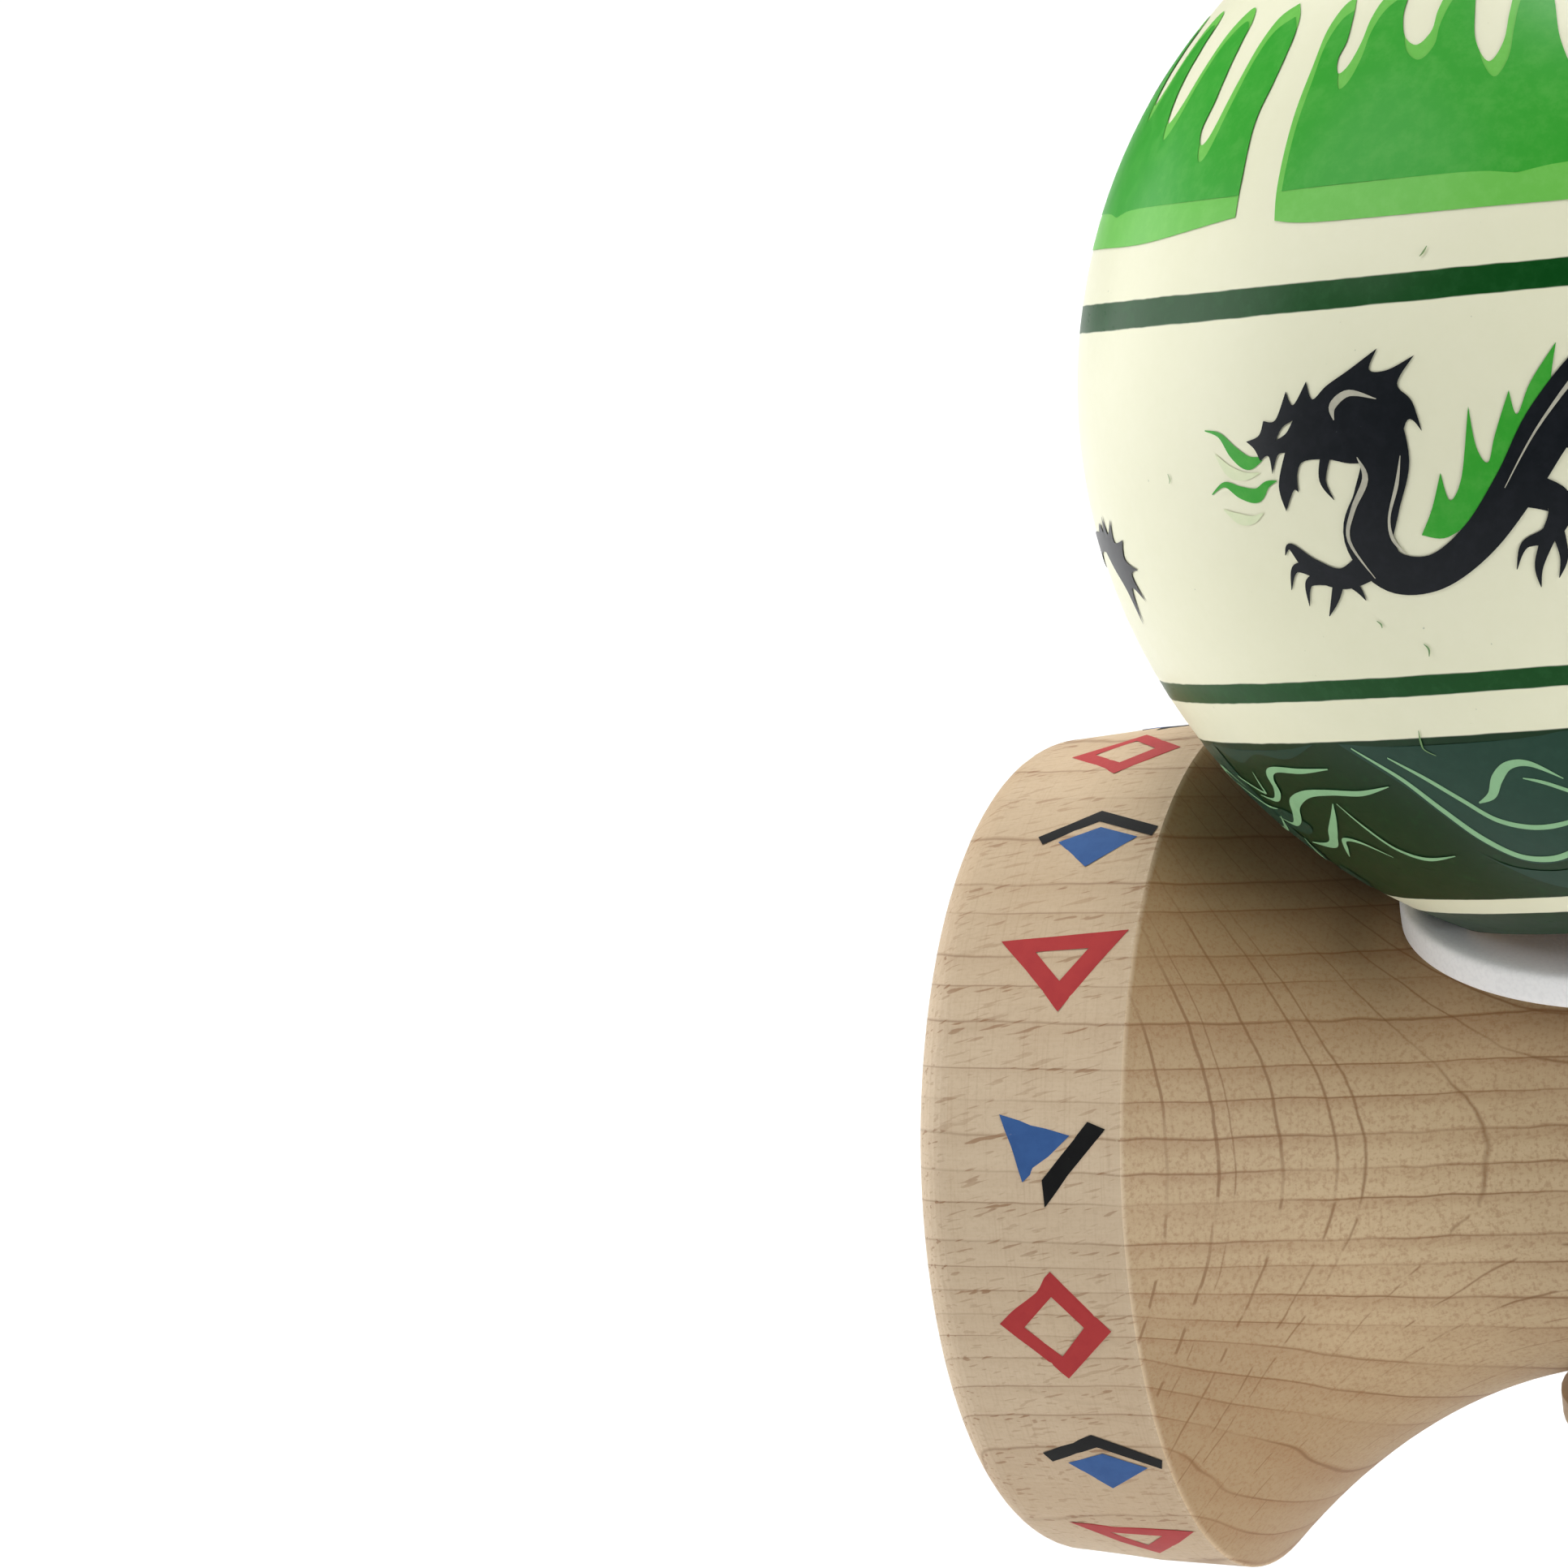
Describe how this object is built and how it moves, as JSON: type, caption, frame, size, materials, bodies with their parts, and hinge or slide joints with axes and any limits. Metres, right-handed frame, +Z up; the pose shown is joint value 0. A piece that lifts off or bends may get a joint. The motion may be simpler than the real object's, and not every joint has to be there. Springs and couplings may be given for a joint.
{
  "type": "kendama",
  "caption": "Wooden ball-and-cup catching toy: a turned handle with a spike and base cup, a cross barrel with two cups, a soft washer and a bored ball on the spike.",
  "frame": {"origin": "on the handle's axis, in the plane of the base cup's rim, which the toy stands on", "axes": "+Z up along the handle to the spike, -X towards the big cup, +X towards the small cup, +Y the back, where the barrel's cord hole opens"},
  "size_m": [0.076, 0.0599, 0.1831],
  "materials": {
    "beech": "natural fine-sanded beech",
    "foam": "matt white closed-cell foam",
    "lacquer": "satin cream lacquer over wood, printed bands and dragon"
  },
  "bodies": {
    "handle": {"ken": "beech"},
    "barrel": {"sarado": "beech"},
    "ring": {"washer": "foam"},
    "ball": {"tama": "lacquer"}
  },
  "joints": [
    {"name": "barrel_lift", "type": "slide", "parent": "handle", "child": "barrel", "axis": [0, 0, 1], "range_m": [0, 0.066]},
    {"name": "washer_lift", "type": "slide", "parent": "barrel", "child": "ring", "axis": [0, 0, 1], "range_m": [0, 0.045]},
    {"name": "ball_lift", "type": "slide", "parent": "ring", "child": "ball", "axis": [0, 0, 1], "range_m": [0, 0.06]}
  ]
}
